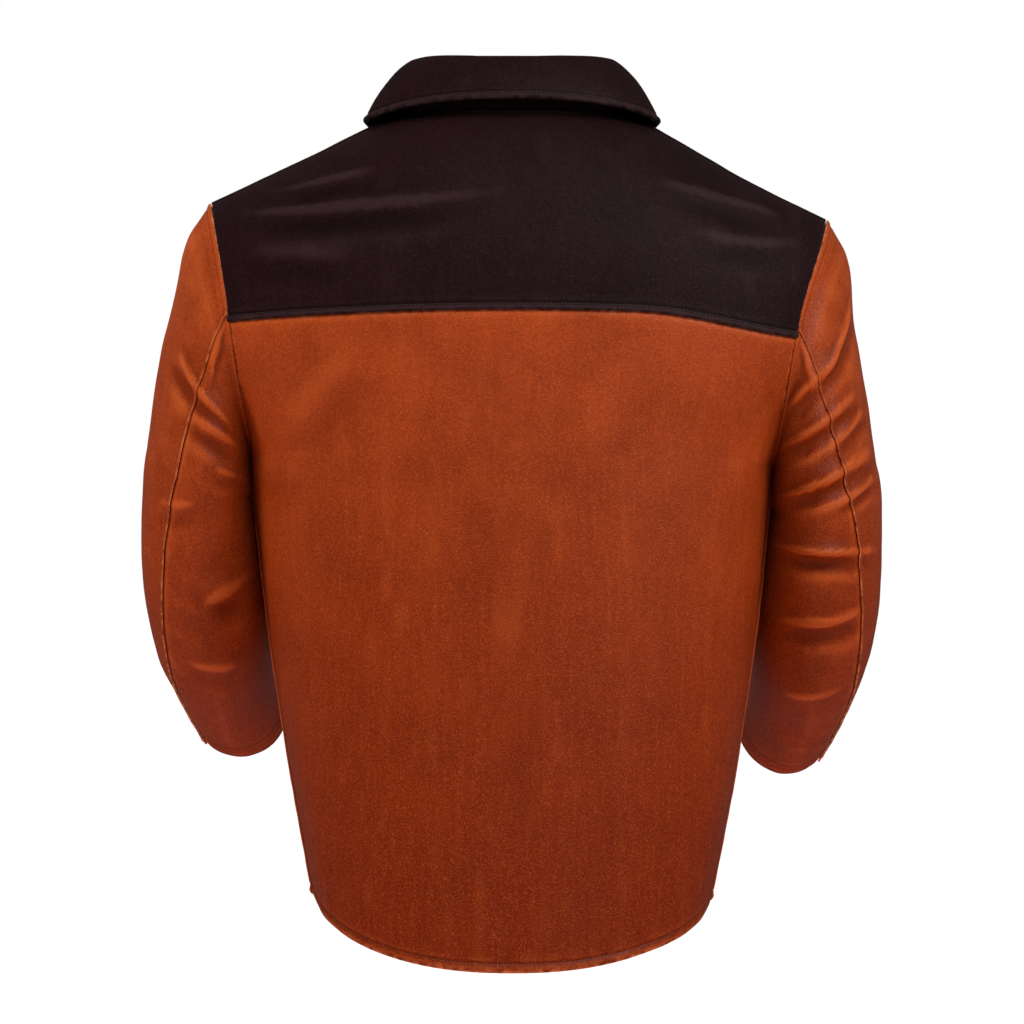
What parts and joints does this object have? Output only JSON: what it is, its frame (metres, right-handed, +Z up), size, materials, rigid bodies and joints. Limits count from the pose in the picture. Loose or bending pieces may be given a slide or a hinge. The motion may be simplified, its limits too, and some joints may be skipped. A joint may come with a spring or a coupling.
{
  "type": "leather welding jacket",
  "caption": "Two-tone leather welding jacket with a dark yoke and turned-down collar, snap front, two-piece sleeves and a dropped back hem.",
  "frame": {"origin": "middle of the neck opening, level with the neck seam at the centre back", "axes": "+Z up, the front of the jacket faces -Y, the wearer's left side is at +X"},
  "size_m": [0.6628, 0.4037, 0.8122],
  "materials": {
    "russet_leather": "matte, fine grained",
    "dark_leather": "satin, fine grained",
    "inner_leather": "matte, flesh side",
    "snap_brass": "antique, satin"
  },
  "bodies": {
    "root": {"back_panel": "russet_leather", "back_yoke": "dark_leather", "left_front_panel": "russet_leather", "right_front_panel": "russet_leather", "left_front_yoke": "dark_leather", "right_front_yoke": "dark_leather", "left_yoke_facing": "inner_leather", "right_yoke_facing": "inner_leather", "back_hem": "inner_leather", "left_front_hem": "inner_leather", "right_front_hem": "inner_leather", "inside_pocket": "inner_leather", "neck_facing": "inner_leather", "hanger_loop": "dark_leather", "collar_stand": "dark_leather", "collar_leaf": "dark_leather", "under_collar": "dark_leather", "snap_cap_yoke": "snap_brass", "snap_socket_yoke": "snap_brass", "snap_stud_yoke": "snap_brass", "snap_post_yoke": "snap_brass"},
    "left_front": {"left_front_edge": "russet_leather", "left_front_facing": "inner_leather", "snap_cap_1": "snap_brass", "snap_socket_1": "snap_brass", "snap_cap_2": "snap_brass", "snap_socket_2": "snap_brass", "snap_cap_3": "snap_brass", "snap_socket_3": "snap_brass", "snap_cap_4": "snap_brass", "snap_socket_4": "snap_brass", "snap_cap_5": "snap_brass", "snap_socket_5": "snap_brass"},
    "right_front": {"right_front_edge": "russet_leather", "right_front_facing": "inner_leather", "snap_stud_1": "snap_brass", "snap_post_1": "snap_brass", "snap_stud_2": "snap_brass", "snap_post_2": "snap_brass", "snap_stud_3": "snap_brass", "snap_post_3": "snap_brass", "snap_stud_4": "snap_brass", "snap_post_4": "snap_brass", "snap_stud_5": "snap_brass", "snap_post_5": "snap_brass"},
    "left_sleeve": {"left_top_sleeve": "russet_leather", "left_under_sleeve": "russet_leather", "left_cuff_hem": "inner_leather"},
    "right_sleeve": {"right_top_sleeve": "russet_leather", "right_under_sleeve": "russet_leather", "right_cuff_hem": "inner_leather"}
  },
  "joints": [
    {"name": "left_front_open", "type": "hinge", "parent": "root", "child": "left_front", "pos_m": [0.11, -0.1302, -0.696], "axis": [0, -0.0307, 0.9995], "range_deg": [0, 90]},
    {"name": "right_front_open", "type": "hinge", "parent": "root", "child": "right_front", "pos_m": [-0.11, -0.1302, -0.696], "axis": [0, 0.0307, -0.9995], "range_deg": [0, 58.5]},
    {"name": "left_sleeve_raise", "type": "hinge", "parent": "root", "child": "left_sleeve", "pos_m": [0.2683, 0, -0.08064], "axis": [0, -1, 0], "range_deg": [0, 30]},
    {"name": "right_sleeve_raise", "type": "hinge", "parent": "root", "child": "right_sleeve", "pos_m": [-0.2683, 0, -0.09564], "axis": [0, 1, 0], "range_deg": [0, 30]}
  ],
  "couplings": [
    {"joint": "right_front_open", "follows": "left_front_open", "ratio": 0.65}
  ]
}
